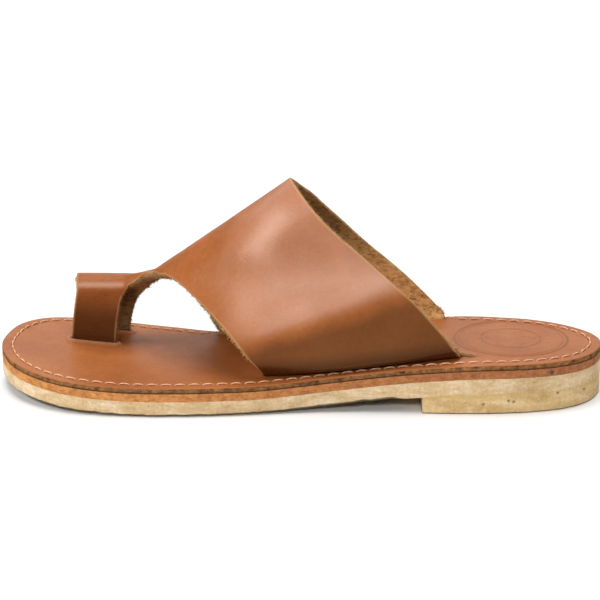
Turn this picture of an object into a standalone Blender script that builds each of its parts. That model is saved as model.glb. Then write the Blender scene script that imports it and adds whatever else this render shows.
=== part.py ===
"""A flat leather sandal with a big-toe loop, for the left foot.

The model is in metres. The tables below are in millimetres, as a sandal maker
would write them, and MM turns them into metres. The toe points to -X, the heel
to +X, the little-toe side is -Y and the big-toe side is +Y.
"""
import math

import bmesh
import bpy
import numpy as np

MM = 0.001

# Layers of the sole, in mm
INSOLE_THICK = 2.4
MIDSOLE_THICK = 3.2
CREPE_THICK = 6.6
LAYER_GAP = 0.3
INSOLE_ROUND = 0.5
STACK = INSOLE_THICK + LAYER_GAP + MIDSOLE_THICK + LAYER_GAP + CREPE_THICK

# Bottom line of the crepe along the foot, in mm
TOE_SPRING = 4.5
SPRING_START = -58.0
ARCH_START = -25.0
HEEL_LEVEL_FROM = 84.0
HEEL_RISE = 8.8

# Heel lift, in mm: the breast is its front face, set slightly askew
BREAST_LATERAL_X = 53.5
BREAST_MEDIAL_X = 48.6
BREAST_ROUND = 1.2

# Leather of the upper, in mm
UPPER_THICK = 2.2
SLIT_CLEAR = 0.3
SLIT_END_CLEAR = 0.7
LATERAL_SLIT_TAIL = 6.5

# Outline of the sole seen from above, in mm, from the toe tip along the little-toe
# side to the heel, then back along the big-toe side
OUTLINE = [
    # x, y
    (-131.5, 4.0),
    (-129.5, -11.0),
    (-122.5, -26.0),
    (-111.0, -37.5),
    (-96.0, -45.0),
    (-76.0, -48.6),
    (-50.0, -48.4),
    (-22.0, -44.8),
    (8.0, -39.6),
    (38.0, -37.8),
    (66.0, -38.2),
    (92.0, -36.0),
    (112.0, -30.0),
    (124.5, -20.0),
    (130.6, -5.0),
    (128.6, 8.0),
    (119.0, 19.5),
    (104.0, 27.8),
    (84.0, 31.4),
    (60.0, 33.2),
    (30.0, 32.4),
    (-5.0, 31.0),
    (-38.0, 30.8),
    (-62.0, 36.8),
    (-84.0, 41.2),
    (-104.0, 42.4),
    (-119.0, 37.4),
    (-128.5, 24.0),
]

# Lines on the insole where the grain face of the leather goes down, in mm
SLITS = {
    # name: front x, front y, rear x, rear y, side (-1 little toe, +1 big toe), tail behind
    "lateral_band": (-13.0, -31.6, 69.6, -26.9, -1, LATERAL_SLIT_TAIL),
    "medial_band": (-37.5, 27.0, 64.3, 30.4, 1, 0.0),
    "near_leg": (-102.4, 9.4, -82.8, 6.7, -1, 0.0),
    "far_leg": (-101.0, 28.2, -78.6, 26.8, 1, 0.0),
}

# How the leather comes out of a band slit: a tight curl over the insole's margin
CURL = [
    # height above the insole in mm, share of the bulge on the little-toe and big-toe side
    (-INSOLE_THICK, 0.0, 0.0),
    (-0.4, 0.0, 0.0),
    (0.35, 0.0, 0.0),
    (0.75, 0.36, 0.10),
    (1.6, 0.68, 0.28),
    (3.4, 0.93, 0.66),
]

# Bulge of the curl past its slit, in mm, and how far its ends lean for each mm of height
CURL_ENDS = {
    # name: front bulge, rear bulge, extra at mid length, front lean, rear lean
    "lateral_band": (3.2, 3.6, 4.8, -0.62, -0.55),
    "medial_band": (2.0, 1.8, 2.8, -0.62, -0.60),
}

# Folds of the band from the little-toe side over the instep to the big-toe side, in mm:
# each row is one straight fold line of the leather, from the front edge to the collar
BAND_FOLDS = [
    # front x, y, z, collar x, y, z, swell at mid length
    (-16.5, -36.6, 18.6, 66.8, -31.4, 25.9, -2.8),
    (-18.9, -37.1, 21.6, 62.7, -31.8, 31.5, -2.5),
    (-21.6, -37.0, 25.3, 56.6, -31.8, 38.5, -2.1),
    (-25.6, -35.6, 30.0, 49.6, -31.2, 46.0, -1.6),
    (-30.5, -32.2, 34.6, 38.4, -29.6, 56.0, -1.0),
    (-36.0, -27.0, 38.7, 27.2, -27.2, 65.3, -0.4),
    (-41.4, -21.4, 42.2, 16.4, -24.6, 73.6, 0.0),
    (-47.4, -14.6, 45.4, 7.2, -21.0, 82.0, 0.0),
    (-53.2, -8.0, 48.0, -0.4, -11.0, 89.3, 0.0),
    (-58.7, -2.0, 49.1, -3.2, -3.0, 91.6, 0.0),
    (-63.0, 4.5, 49.7, -4.4, 3.0, 91.6, 0.0),
    (-65.0, 12.0, 46.9, -2.4, 10.0, 88.4, 0.0),
    (-66.0, 20.8, 43.9, 0.2, 15.5, 85.0, 0.0),
    (-64.5, 27.8, 40.4, 3.5, 19.8, 81.6, 0.0),
    (-57.6, 29.8, 38.8, 9.6, 24.0, 74.8, 0.0),
    (-51.7, 31.0, 34.6, 18.0, 26.8, 66.4, 0.0),
    (-47.4, 31.5, 30.0, 29.0, 28.4, 55.9, 0.4),
    (-44.2, 31.2, 25.5, 41.0, 30.8, 45.3, 0.9),
    (-42.0, 30.2, 20.9, 51.6, 32.4, 35.0, 1.5),
    (-40.8, 29.5, 18.0, 59.4, 32.5, 26.9, 1.9),
]
# Rows of the table that the toe loop grows out of, first and last
NECK_FIRST = 9
NECK_LAST = 13

# Rows across the top of the toe loop, in mm, from behind the loop to its front edge:
# each goes from the little-toe side over the big toe to the far side
LOOP_ROWS = [
    # little-toe edge, shoulder, crown, far slope, big-toe edge (x, y, z each)
    ((-66.2, 5.2, 48.2), (-68.0, 9.0, 47.4), (-69.0, 14.0, 45.6), (-69.5, 21.8, 42.8), (-67.6, 28.1, 38.9)),
    ((-70.5, 5.6, 45.7), (-72.0, 9.0, 46.3), (-73.0, 14.0, 44.6), (-73.6, 21.8, 41.9), (-70.2, 28.4, 36.8)),
    ((-75.9, 5.9, 41.6), (-77.0, 8.8, 44.8), (-78.0, 14.0, 44.3), (-78.4, 21.8, 41.8), (-72.6, 28.5, 34.0)),
    ((-82.4, 6.3, 39.9), (-83.2, 8.7, 43.5), (-83.8, 14.0, 44.3), (-84.2, 21.8, 41.9), (-83.0, 28.3, 37.2)),
    ((-90.6, 6.5, 39.6), (-91.0, 8.7, 43.3), (-91.4, 14.0, 44.3), (-92.0, 21.8, 41.9), (-92.2, 28.2, 38.0)),
    ((-98.9, 6.8, 39.4), (-99.3, 8.9, 43.1), (-99.8, 14.0, 44.1), (-100.3, 21.8, 41.8), (-100.7, 28.0, 38.2)),
]
# First loop row whose ends run on down as the loop's legs
LEG_ROW = 2

# Loop legs from the shoulder down to the insole: share of the way from rear edge to front
# edge is worked out, and these rows give the two edges, in mm above the insole
LEG_ROWS = {
    # name: (rear x, rear y, rear height, front x, front y, front height), top to bottom
    "near_leg": [
        (-79.4, 6.3, 22.5, -99.8, 7.4, 19.6),
        (-81.2, 6.6, 14.5, -101.0, 8.3, 12.6),
        (-82.3, 6.7, 6.7, -101.9, 9.0, 5.6),
    ],
    "far_leg": [
        (-75.4, 28.3, 15.8, -101.0, 28.5, 17.6),
        (-77.2, 27.8, 10.4, -101.1, 28.5, 11.6),
        (-78.2, 27.2, 5.0, -101.1, 28.4, 5.6),
    ],
}

# Fineness of the meshes
STATIONS = 44
OUTLINE_STEPS = 12
FOLD_STEPS = 2
BAND_LENGTH_STEPS = 15
LOOP_STEPS = 3
LEG_STEPS = 2


def spline(points, steps):
    """Points of a smooth open curve through the given points."""
    points = np.asarray(points, float)
    ends = np.vstack([2 * points[0] - points[1], points, 2 * points[-1] - points[-2]])
    curve = []
    for index in range(len(points) - 1):
        before, start, end, after = ends[index:index + 4]
        for step in range(steps):
            t = step / steps
            curve.append(0.5 * (2 * start + (end - before) * t
                                + (2 * before - 5 * start + 4 * end - after) * t ** 2
                                + (3 * start - before - 3 * end + after) * t ** 3))
    curve.append(points[-1])
    return np.array(curve)


def ease(t):
    """Smooth step from 0 to 1."""
    t = min(1.0, max(0.0, t))
    return t * t * (3 - 2 * t)


def sole_bottom(x):
    """Height of the crepe's underside over the ground at x."""
    spring = max(0.0, (SPRING_START - x) / (SPRING_START - OUTLINE[0][0]))
    rise = ease((x - ARCH_START) / (HEEL_LEVEL_FROM - ARCH_START))
    return TOE_SPRING * spring ** 2 + HEEL_RISE * rise


def insole_top(x):
    return sole_bottom(x) + STACK


def outline_sides():
    """The outline as two lines of y against x, little-toe side and big-toe side."""
    closed = OUTLINE[-1:] + OUTLINE + OUTLINE[:2]
    curve = spline(closed, OUTLINE_STEPS)[OUTLINE_STEPS:-OUTLINE_STEPS]
    toe = int(np.argmin(curve[:, 0]))
    curve = np.vstack([curve[toe:-1], curve[:toe + 1]])
    heel = int(np.argmax(curve[:, 0]))
    return curve[:heel + 1], curve[heel:][::-1]


LATERAL_SIDE, MEDIAL_SIDE = outline_sides()
TOE_X = LATERAL_SIDE[0, 0]
HEEL_X = LATERAL_SIDE[-1, 0]
CENTRE_X = (TOE_X + HEEL_X) / 2
CENTRE_Y = (LATERAL_SIDE[:, 1].min() + MEDIAL_SIDE[:, 1].max()) / 2


def side_y(side, x):
    return float(np.interp(x, side[:, 0], side[:, 1]))


def sole_ring(first_lateral, first_medial):
    """Plan of a layer as a ring of points: out along one side and back along the other."""
    tip = 0.15
    lateral = []
    medial = []
    sides = ((lateral, LATERAL_SIDE, first_lateral), (medial, MEDIAL_SIDE, first_medial))
    for index in range(STATIONS + 1):
        share = 0.5 - 0.5 * math.cos(math.pi * index / STATIONS)
        for line, side, first in sides:
            x = first + tip + (HEEL_X - tip - first - tip) * share
            line.append((x, side_y(side, x)))
    return np.array(lateral + medial[::-1])


def inset(ring, distance):
    """The ring moved inwards by a distance."""
    ahead = np.roll(ring, -1, axis=0) - ring
    behind = ring - np.roll(ring, 1, axis=0)
    ahead /= np.linalg.norm(ahead, axis=1)[:, None]
    behind /= np.linalg.norm(behind, axis=1)[:, None]
    along = ahead + behind
    along /= np.linalg.norm(along, axis=1)[:, None]
    inward = np.stack([-along[:, 1], along[:, 0]], axis=1)
    return ring + inward * distance


def place(point):
    """A point of the tables, in metres from the middle of the sole on the ground."""
    return ((point[0] - CENTRE_X) * MM, (point[1] - CENTRE_Y) * MM, point[2] * MM)


def add_object(name, mesh, material, collection):
    piece = bpy.data.objects.new(name, mesh)
    mesh.materials.append(material)
    collection.objects.link(piece)
    mesh.shade_smooth()
    mesh.set_sharp_from_angle(angle=math.radians(35))
    return piece


def layer_mesh(name, levels):
    """A closed layer lofted through rings: each level is a ring and its height function."""
    mesh = bpy.data.meshes.new(name)
    bm = bmesh.new()
    rings = []
    for ring, height in levels:
        rings.append([bm.verts.new(place((x, y, height(x)))) for x, y in ring])
    count = len(rings[0])
    for low, high in zip(rings, rings[1:]):
        for index in range(count):
            after = (index + 1) % count
            bm.faces.new((low[index], low[after], high[after], high[index]))
    for index in range(count // 2 - 1):
        mate = count - 1 - index
        bottom, top = rings[0], rings[-1]
        bm.faces.new((bottom[index], bottom[mate], bottom[mate - 1], bottom[index + 1]))
        bm.faces.new((top[index], top[index + 1], top[mate - 1], top[mate]))
    bm.to_mesh(mesh)
    bm.free()
    return mesh


def slit_cutter(name, collection):
    """A slab that cuts the insole where one end of the upper goes through."""
    front_x, front_y, rear_x, rear_y, side, tail = SLITS[name]
    front = np.array((front_x, front_y))
    rear = np.array((rear_x, rear_y))
    along = (rear - front) / np.linalg.norm(rear - front)
    foot_side = np.array((-along[1], along[0])) * -side
    front = front - along * SLIT_END_CLEAR
    rear = rear + along * (SLIT_END_CLEAR + tail)
    middle = (front + rear) / 2 + foot_side * UPPER_THICK / 2
    length = np.linalg.norm(rear - front)
    bpy.ops.mesh.primitive_cube_add(size=1)
    cutter = bpy.context.object
    cutter.name = "slit_" + name
    cutter.dimensions = (length * MM, (UPPER_THICK + 2 * SLIT_CLEAR) * MM, 4 * STACK * MM)
    cutter.location = place((middle[0], middle[1], STACK))
    cutter.rotation_euler = (0, 0, math.atan2(along[1], along[0]))
    for home in list(cutter.users_collection):
        home.objects.unlink(cutter)
    collection.objects.link(cutter)
    cutter.hide_render = True
    cutter.display_type = "WIRE"
    return cutter


def curl_rows(name):
    """Fold lines of the band's tucked edge, from under the insole up round the curl."""
    front_x, front_y, rear_x, rear_y, side, _tail = SLITS[name]
    front_bulge, rear_bulge, extra, front_lean, rear_lean = CURL_ENDS[name]
    rows = []
    for height, lateral_share, medial_share in CURL:
        share = lateral_share if side < 0 else medial_share
        lift = max(0.0, height)
        front = (front_x + front_lean * lift, front_y + side * front_bulge * share)
        rear = (rear_x + rear_lean * lift, rear_y + side * rear_bulge * share)
        rows.append((front, rear, height, side * extra * share))
    return rows


def band_line(front, rear, swell, share):
    """A point on a fold line between the front edge and the collar."""
    point = (1 - share) * np.asarray(front, float) + share * np.asarray(rear, float)
    point[1] += swell * 4 * share * (1 - share)
    return point


def band_grid():
    """Points of the band's grain face: rows of folds, and columns from front to collar."""
    shares = np.linspace(0, 1, BAND_LENGTH_STEPS + 1)
    lateral, medial = [], []
    for rows, name in ((lateral, "lateral_band"), (medial, "medial_band")):
        for front, rear, height, swell in curl_rows(name):
            line = []
            for share in shares:
                x, y = band_line(front, rear, swell, share)
                line.append((x, y, insole_top(x) + height))
            rows.append(line)
    folds = []
    for fold in BAND_FOLDS:
        folds.append([band_line(fold[:3], fold[3:6], fold[6], share) for share in shares])
    tucked = 3
    smooth = np.array(lateral[tucked - 1:] + folds + medial[::-1][:1 - tucked])
    columns = [spline(smooth[:, index], FOLD_STEPS) for index in range(len(shares))]
    body = np.stack(columns, axis=1)
    grid = np.concatenate([np.array(lateral[:tucked - 1]), body, np.array(medial[:tucked - 1][::-1])])
    first_fold = (tucked - 1) + (len(lateral) - tucked + 1) * FOLD_STEPS
    return grid, first_fold


def loop_grids(band, first_fold):
    """Grids of the loop's top and of its two legs, sharing their edges with the band."""
    first = first_fold + NECK_FIRST * FOLD_STEPS
    last = first_fold + NECK_LAST * FOLD_STEPS
    behind = band[first:last + 1, 1]
    neck = band[first:last + 1, 0]
    rows = np.array([spline(row, FOLD_STEPS) for row in LOOP_ROWS])
    columns = []
    for index in range(len(neck)):
        control = np.vstack([behind[index], neck[index], rows[:, index]])
        columns.append(spline(control, LOOP_STEPS)[LOOP_STEPS:])
    top = np.array(columns)
    start = (LEG_ROW + 1) * LOOP_STEPS
    legs = []
    for name, edge, beside in (("near_leg", 0, 1), ("far_leg", -1, -2)):
        front_x, front_y, rear_x, rear_y, _side, _tail = SLITS[name]
        shoulder = top[edge, start:]
        reach = (shoulder[:, 0] - shoulder[0, 0]) / (shoulder[-1, 0] - shoulder[0, 0])
        grid = []
        for number, share in enumerate(reach):
            control = [top[beside, start + number], shoulder[number]]
            for back_x, back_y, back_h, fore_x, fore_y, fore_h in LEG_ROWS[name]:
                x = back_x + (fore_x - back_x) * share
                y = back_y + (fore_y - back_y) * share
                control.append((x, y, insole_top(x) + back_h + (fore_h - back_h) * share))
            x = rear_x + (front_x - rear_x) * share
            y = rear_y + (front_y - rear_y) * share
            control.append((x, y, insole_top(x)))
            line = spline(control, LEG_STEPS)[LEG_STEPS:]
            grid.append(np.vstack([line, (x, y, insole_top(x) - INSOLE_THICK)]))
        legs.append(np.array(grid))
    return top, legs


def upper_mesh(name):
    """Grain face of the whole upper as one open sheet."""
    band, first_fold = band_grid()
    top, legs = loop_grids(band, first_fold)
    mesh = bpy.data.meshes.new(name)
    bm = bmesh.new()
    for grid, flip in ((band, False), (top, True), (legs[0], True), (legs[1], False)):
        verts = [[bm.verts.new(place(point)) for point in row] for row in grid]
        for low, high in zip(verts, verts[1:]):
            for index in range(len(low) - 1):
                face = [low[index], low[index + 1], high[index + 1], high[index]]
                if flip:
                    face.reverse()
                bm.faces.new(face)
    bmesh.ops.remove_doubles(bm, verts=bm.verts, dist=0.00002)
    bm.to_mesh(mesh)
    bm.free()
    return mesh


def material(name, colour, roughness):
    """A plain Principled material without metal."""
    made = bpy.data.materials.new(name)
    made.use_nodes = True
    shader = made.node_tree.nodes["Principled BSDF"]
    shader.inputs["Base Color"].default_value = (*colour, 1)
    shader.inputs["Roughness"].default_value = roughness
    shader.inputs["Metallic"].default_value = 0
    return made


def clear_scene():
    for old in list(bpy.data.objects):
        bpy.data.objects.remove(old)


def build():
    clear_scene()
    scene = bpy.context.scene
    parts = bpy.data.collections.new("toe_loop_sandal")
    cutters = bpy.data.collections.new("cutters")
    scene.collection.children.link(parts)
    scene.collection.children.link(cutters)

    plan = sole_ring(TOE_X, TOE_X)

    def above(offset):
        return lambda x: sole_bottom(x) + offset

    crepe = material("crepe", (0.66, 0.50, 0.29), 0.7)
    outsole = layer_mesh("outsole", [(plan, above(0)), (plan, above(CREPE_THICK))])
    add_object("outsole", outsole, crepe, parts)

    midsole_low = CREPE_THICK + LAYER_GAP
    midsole_high = midsole_low + MIDSOLE_THICK
    midsole = layer_mesh("midsole", [(plan, above(midsole_low)), (plan, above(midsole_high))])
    add_object("midsole", midsole, material("midsole_leather", (0.48, 0.22, 0.07), 0.75), parts)

    insole_low = midsole_high + LAYER_GAP
    insole_high = insole_low + INSOLE_THICK
    insole_levels = [
        (plan, above(insole_low)),
        (plan, above(insole_high - INSOLE_ROUND)),
        (inset(plan, INSOLE_ROUND), above(insole_high)),
    ]
    insole_leather = material("insole_leather", (0.46, 0.20, 0.09), 0.5)
    insole = add_object("insole", layer_mesh("insole", insole_levels), insole_leather, parts)
    for name in SLITS:
        cut = insole.modifiers.new("slit " + name, "BOOLEAN")
        cut.operation = "DIFFERENCE"
        cut.object = slit_cutter(name, cutters)

    lift_plan = sole_ring(BREAST_LATERAL_X, BREAST_MEDIAL_X)
    lift_levels = [
        (lift_plan, lambda x: 0.0),
        (lift_plan, above(-LAYER_GAP)),
    ]
    lift_crepe = material("heel_crepe", (0.62, 0.44, 0.20), 0.7)
    lift = add_object("heel_lift", layer_mesh("heel_lift", lift_levels), lift_crepe, parts)
    rounding = lift.modifiers.new("rounded breast", "BEVEL")
    rounding.width = BREAST_ROUND * MM
    rounding.segments = 2
    rounding.limit_method = "WEIGHT"
    mark_breast_edge(lift.data)

    upper_leather = material("upper_leather", (0.46, 0.20, 0.08), 0.4)
    upper = add_object("upper", upper_mesh("upper"), upper_leather, parts)
    wall = upper.modifiers.new("leather thickness", "SOLIDIFY")
    wall.thickness = UPPER_THICK * MM
    wall.offset = -1
    wall.use_even_offset = True


def mark_breast_edge(mesh):
    """Give the heel lift's front lower edge the bevel's weight."""
    weights = mesh.attributes.new("bevel_weight_edge", "FLOAT", "EDGE")
    front = min(vertex.co.x for vertex in mesh.vertices)
    reach = (BREAST_LATERAL_X - BREAST_MEDIAL_X + 1) * MM
    for edge in mesh.edges:
        ends = [mesh.vertices[index].co for index in edge.vertices]
        low = all(end.z < LAYER_GAP * MM for end in ends)
        across = abs(ends[0].y - ends[1].y) > 30 * MM
        if low and across and all(end.x < front + reach for end in ends):
            weights.data[edge.index].value = 1


build()
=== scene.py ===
"""The looks of the toe loop sandal: leather, suede, crepe, thread, floor, light and camera.

The tables are in millimetres, and MM turns them into metres. Those of the form repeat the
part's own.
The toe points to -X, the heel to +X, the little-toe side is -Y, the big-toe side is +Y.
"""
import math

import bmesh
import bpy
import numpy as np
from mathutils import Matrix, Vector, noise


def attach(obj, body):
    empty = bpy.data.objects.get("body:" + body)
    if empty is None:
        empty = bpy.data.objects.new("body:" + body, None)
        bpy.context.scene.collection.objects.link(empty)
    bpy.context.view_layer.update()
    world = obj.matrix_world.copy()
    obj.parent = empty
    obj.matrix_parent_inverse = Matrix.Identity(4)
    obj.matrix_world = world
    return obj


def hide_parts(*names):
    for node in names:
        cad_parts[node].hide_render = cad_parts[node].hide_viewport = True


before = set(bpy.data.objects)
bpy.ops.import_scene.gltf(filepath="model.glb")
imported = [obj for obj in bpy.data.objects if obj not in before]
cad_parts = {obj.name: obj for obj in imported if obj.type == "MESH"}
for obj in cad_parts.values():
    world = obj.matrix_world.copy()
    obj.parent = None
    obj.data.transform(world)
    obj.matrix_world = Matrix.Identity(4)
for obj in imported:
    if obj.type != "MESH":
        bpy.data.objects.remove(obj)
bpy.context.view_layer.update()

MM = 0.001

# Layers of the sole, in mm. The layers touch here, so each seam is a line
INSOLE_THICK = 2.4
MIDSOLE_THICK = 3.2
CREPE_THICK = 6.6
LAYER_GAP = 0.3
STACK = INSOLE_THICK + LAYER_GAP + MIDSOLE_THICK + LAYER_GAP + CREPE_THICK

# Bottom line of the crepe along the foot, in mm
TOE_SPRING = 4.5
SPRING_START = -58.0
ARCH_START = -25.0
HEEL_LEVEL_FROM = 84.0
HEEL_RISE = 8.8

# Heel lift: its front face, set slightly askew
BREAST_LATERAL_X = 53.5
BREAST_MEDIAL_X = 48.6

UPPER_THICK = 2.2

# Outline of the sole seen from above, from the toe tip along the little-toe side to the
# heel, then back along the big-toe side
OUTLINE = [
    # x, y
    (-131.5, 4.0), (-129.5, -11.0), (-122.5, -26.0), (-111.0, -37.5),
    (-96.0, -45.0), (-76.0, -48.6), (-50.0, -48.4), (-22.0, -44.8),
    (8.0, -39.6), (38.0, -37.8), (66.0, -38.2), (92.0, -36.0),
    (112.0, -30.0), (124.5, -20.0), (130.6, -5.0), (128.6, 8.0),
    (119.0, 19.5), (104.0, 27.8), (84.0, 31.4), (60.0, 33.2),
    (30.0, 32.4), (-5.0, 31.0), (-38.0, 30.8), (-62.0, 36.8),
    (-84.0, 41.2), (-104.0, 42.4), (-119.0, 37.4), (-128.5, 24.0),
]

# Lines on the insole where the grain face of the leather goes down
SLITS = {
    # name: front x, front y, rear x, rear y, side (-1 little toe, +1 big toe)
    "lateral_band": (-13.0, -31.6, 69.6, -26.9, -1),
    "medial_band": (-37.5, 27.0, 64.3, 30.4, 1),
    "near_leg": (-102.4, 9.4, -82.8, 6.7, -1),
    "far_leg": (-101.0, 28.2, -78.6, 26.8, 1),
}

# How the leather comes out of a band slit: a tight curl over the insole's margin
CURL = [
    # height above the insole in mm, share of the bulge on the little-toe and big-toe side
    (-INSOLE_THICK, 0.0, 0.0),
    (-0.4, 0.0, 0.0),
    (0.35, 0.0, 0.0),
    (0.75, 0.36, 0.10),
    (1.6, 0.68, 0.28),
    (3.4, 0.93, 0.66),
]
CURL_ENDS = {
    # name: front bulge, rear bulge, extra at mid length, front lean, rear lean
    "lateral_band": (3.2, 3.6, 4.8, -0.62, -0.55),
    "medial_band": (2.0, 1.8, 2.8, -0.62, -0.60),
}
# Curl rows that stay straight, inside the slit
STRAIGHT_ROWS = 2

# Folds of the band from the little-toe side over the instep to the big-toe side: each row
# is one straight fold line of the leather, from the front edge to the collar
BAND_FOLDS = [
    # front x, y, z, collar x, y, z, swell at mid length
    (-16.5, -36.6, 18.6, 66.8, -31.4, 25.9, -2.8),
    (-18.9, -37.1, 21.6, 62.7, -31.8, 31.5, -2.5),
    (-21.6, -37.0, 25.3, 56.6, -31.8, 38.5, -2.1),
    (-25.6, -35.6, 30.0, 49.6, -31.2, 46.0, -1.6),
    (-30.5, -32.2, 34.6, 38.4, -29.6, 56.0, -1.0),
    (-36.0, -27.0, 38.7, 27.2, -27.2, 65.3, -0.4),
    (-41.4, -21.4, 42.2, 16.4, -24.6, 73.6, 0.0),
    (-47.4, -14.6, 45.4, 7.2, -21.0, 82.0, 0.0),
    (-53.2, -8.0, 48.0, -0.4, -11.0, 89.3, 0.0),
    (-58.7, -2.0, 49.1, -3.2, -3.0, 91.6, 0.0),
    (-63.0, 4.5, 49.7, -4.4, 3.0, 91.6, 0.0),
    (-65.0, 12.0, 46.9, -2.4, 10.0, 88.4, 0.0),
    (-66.0, 20.8, 43.9, 0.2, 15.5, 85.0, 0.0),
    (-64.5, 27.8, 40.4, 3.5, 19.8, 81.6, 0.0),
    (-57.6, 29.8, 38.8, 9.6, 24.0, 74.8, 0.0),
    (-51.7, 31.0, 34.6, 18.0, 26.8, 66.4, 0.0),
    (-47.4, 31.5, 30.0, 29.0, 28.4, 55.9, 0.4),
    (-44.2, 31.2, 25.5, 41.0, 30.8, 45.3, 0.9),
    (-42.0, 30.2, 20.9, 51.6, 32.4, 35.0, 1.5),
    (-40.8, 29.5, 18.0, 59.4, 32.5, 26.9, 1.9),
]
# Folds between which the band runs on into the loop
NECK_FIRST = 9
NECK_LAST = 13

# Rows across the top of the toe loop, from behind the loop to its front edge
LOOP_ROWS = [
    # little-toe edge, shoulder, crown, far slope, big-toe edge (x, y, z each)
    ((-66.2, 5.2, 48.2), (-68.0, 9.0, 47.4), (-69.0, 14.0, 45.6),
     (-69.5, 21.8, 42.8), (-67.6, 28.1, 38.9)),
    ((-70.5, 5.6, 45.7), (-72.0, 9.0, 46.3), (-73.0, 14.0, 44.6),
     (-73.6, 21.8, 41.9), (-70.2, 28.4, 36.8)),
    ((-75.9, 5.9, 41.6), (-77.0, 8.8, 44.8), (-78.0, 14.0, 44.3),
     (-78.4, 21.8, 41.8), (-72.6, 28.5, 34.0)),
    ((-82.4, 6.3, 39.9), (-83.2, 8.7, 43.5), (-83.8, 14.0, 44.3),
     (-84.2, 21.8, 41.9), (-83.0, 28.3, 37.2)),
    ((-90.6, 6.5, 39.6), (-91.0, 8.7, 43.3), (-91.4, 14.0, 44.3),
     (-92.0, 21.8, 41.9), (-92.2, 28.2, 38.0)),
    ((-98.9, 6.8, 39.4), (-99.3, 8.9, 43.1), (-99.8, 14.0, 44.1),
     (-100.3, 21.8, 41.8), (-100.7, 28.0, 38.2)),
]
# Row at which the loop's legs begin
LEG_ROW = 2
LEG_ROWS = {
    # name: (rear x, rear y, rear height, front x, front y, front height), top to bottom
    "near_leg": [
        (-79.4, 6.3, 22.5, -99.8, 7.4, 19.6),
        (-81.2, 6.6, 14.5, -101.0, 8.3, 12.6),
        (-82.3, 6.7, 6.7, -101.9, 9.0, 5.6),
    ],
    "far_leg": [
        (-75.4, 28.3, 15.8, -101.0, 28.5, 17.6),
        (-77.2, 27.8, 10.4, -101.1, 28.5, 11.6),
        (-78.2, 27.2, 5.0, -101.1, 28.4, 5.6),
    ],
}

# Soft troughs (negative) and ridges (positive) of the upper
CREASES = [
    # start x, y, z, end x, y, z, half width, height
    (-44.0, -37.5, 23.6, 72.0, -28.5, 60.0, 8.0, 1.5),
    (-34.0, -37.4, 17.2, 78.0, -31.0, 30.0, 6.0, -0.35),
    (-14.0, -26.0, 50.0, 30.0, -27.5, 62.0, 10.0, -0.55),
    (-22.0, -8.0, 77.0, -2.0, -20.0, 68.0, 8.0, 0.55),
    (-46.0, -12.0, 50.0, -24.0, -20.0, 56.0, 9.0, -0.45),
    (-74.0, 10.0, 46.0, -62.0, 20.0, 45.0, 4.0, -0.35),
    (-66.0, 4.0, 50.0, -50.0, 26.0, 46.0, 4.0, -0.3),
]

# Cut edge of the upper, from the grain to the flesh: share of the thickness, how far it
# stands out and how ragged it is, in mm
EDGE_PROFILE = [
    (0.05, 0.07, 0.00),
    (0.14, 0.13, 0.04),
    (0.34, 0.16, 0.08),
    (0.56, 0.14, 0.14),
    (0.80, 0.06, 0.20),
]

# Painted highlights on the upper, as paler colour
PAINTED_HIGHLIGHTS = [
    # start x, y, z, end x, y, z, half width, share
    (-8.0, -14.5, 77.5, -16.0, -17.0, 66.5, 6.0, 0.40),
    (-98.0, 7.3, 40.9, -79.0, 6.9, 41.3, 1.3, 0.50),
    (-20.0, -28.0, 45.0, 10.0, -28.0, 52.0, 9.0, 0.20),
    (24.0, -29.0, 58.0, 42.0, -28.0, 61.0, 7.0, 0.20),
    (-12.0, -34.0, 37.5, 40.0, -29.5, 56.5, 4.0, 0.12),
]

# Rubbed, glossier places on the upper
POLISHED = [
    # start x, y, z, end x, y, z, half width
    (-6.0, -14.0, 80.0, -20.0, -18.0, 62.0, 8.0),
    (-12.0, -34.0, 37.5, 44.0, -29.0, 58.0, 5.0),
    (-99.0, 7.4, 41.1, -78.0, 7.0, 41.6, 2.2),
]

# Side of the insole, from its underside up to the grain
INSOLE_LOW = -LAYER_GAP / 2 - INSOLE_THICK
INSOLE_LEVELS = [
    # height under the top, inset, roughness
    (INSOLE_LOW, 0.50, 0.10),
    (INSOLE_LOW + 0.35, 0.12, 0.16),
    (INSOLE_LOW + 0.9, -0.05, 0.20),
    (INSOLE_LOW + 1.5, 0.0, 0.18),
    (INSOLE_LOW + 2.0, 0.05, 0.12),
    (-0.32, 0.10, 0.06),
    (-0.10, 0.28, 0.03),
    (0.0, 0.62, 0.0),
]
# Levels below this one show the cut edge, the others the grain
GRAIN_LEVEL = 5

# Running stitch round the insole, the groove it lies in and the holes at its ends
STITCH_INSET = 4.7
STITCH_INSET_AT_SLIT = 1.8
STITCH_PITCH = 5.9
STITCH_LENGTH = 4.5
THREAD_RADIUS = 0.32
GROOVE_DEPTH = 0.16
GROOVE_WIDTH = 1.0
HOLE_DEPTH = 0.45
HOLE_WIDTH = 0.55

# Plain stamped rings on the insole's heel, and the plain rosette inside them
STAMP_CENTRE = (92.0, 0.4)
STAMP_RINGS = [
    # radius, half width, depth
    (24.6, 0.55, 0.34),
    (22.6, 0.35, 0.22),
    (13.0, 0.45, 0.26),
]
ROSETTE_PETALS = 6
ROSETTE_RADIUS = 10.5
ROSETTE_LINE = 0.5
ROSETTE_DEPTH = 0.2

# Nail head in the midsole's side, and pinholes in the crepe's side (x, z)
NAIL = (107.7, 17.0)
NAIL_RADIUS = 0.95
NAIL_FLATNESS = 0.35
PINHOLES = [(79.2, 4.4), (89.8, 5.7), (92.0, 5.2), (110.7, 7.7), (122.8, 6.6)]

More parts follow.
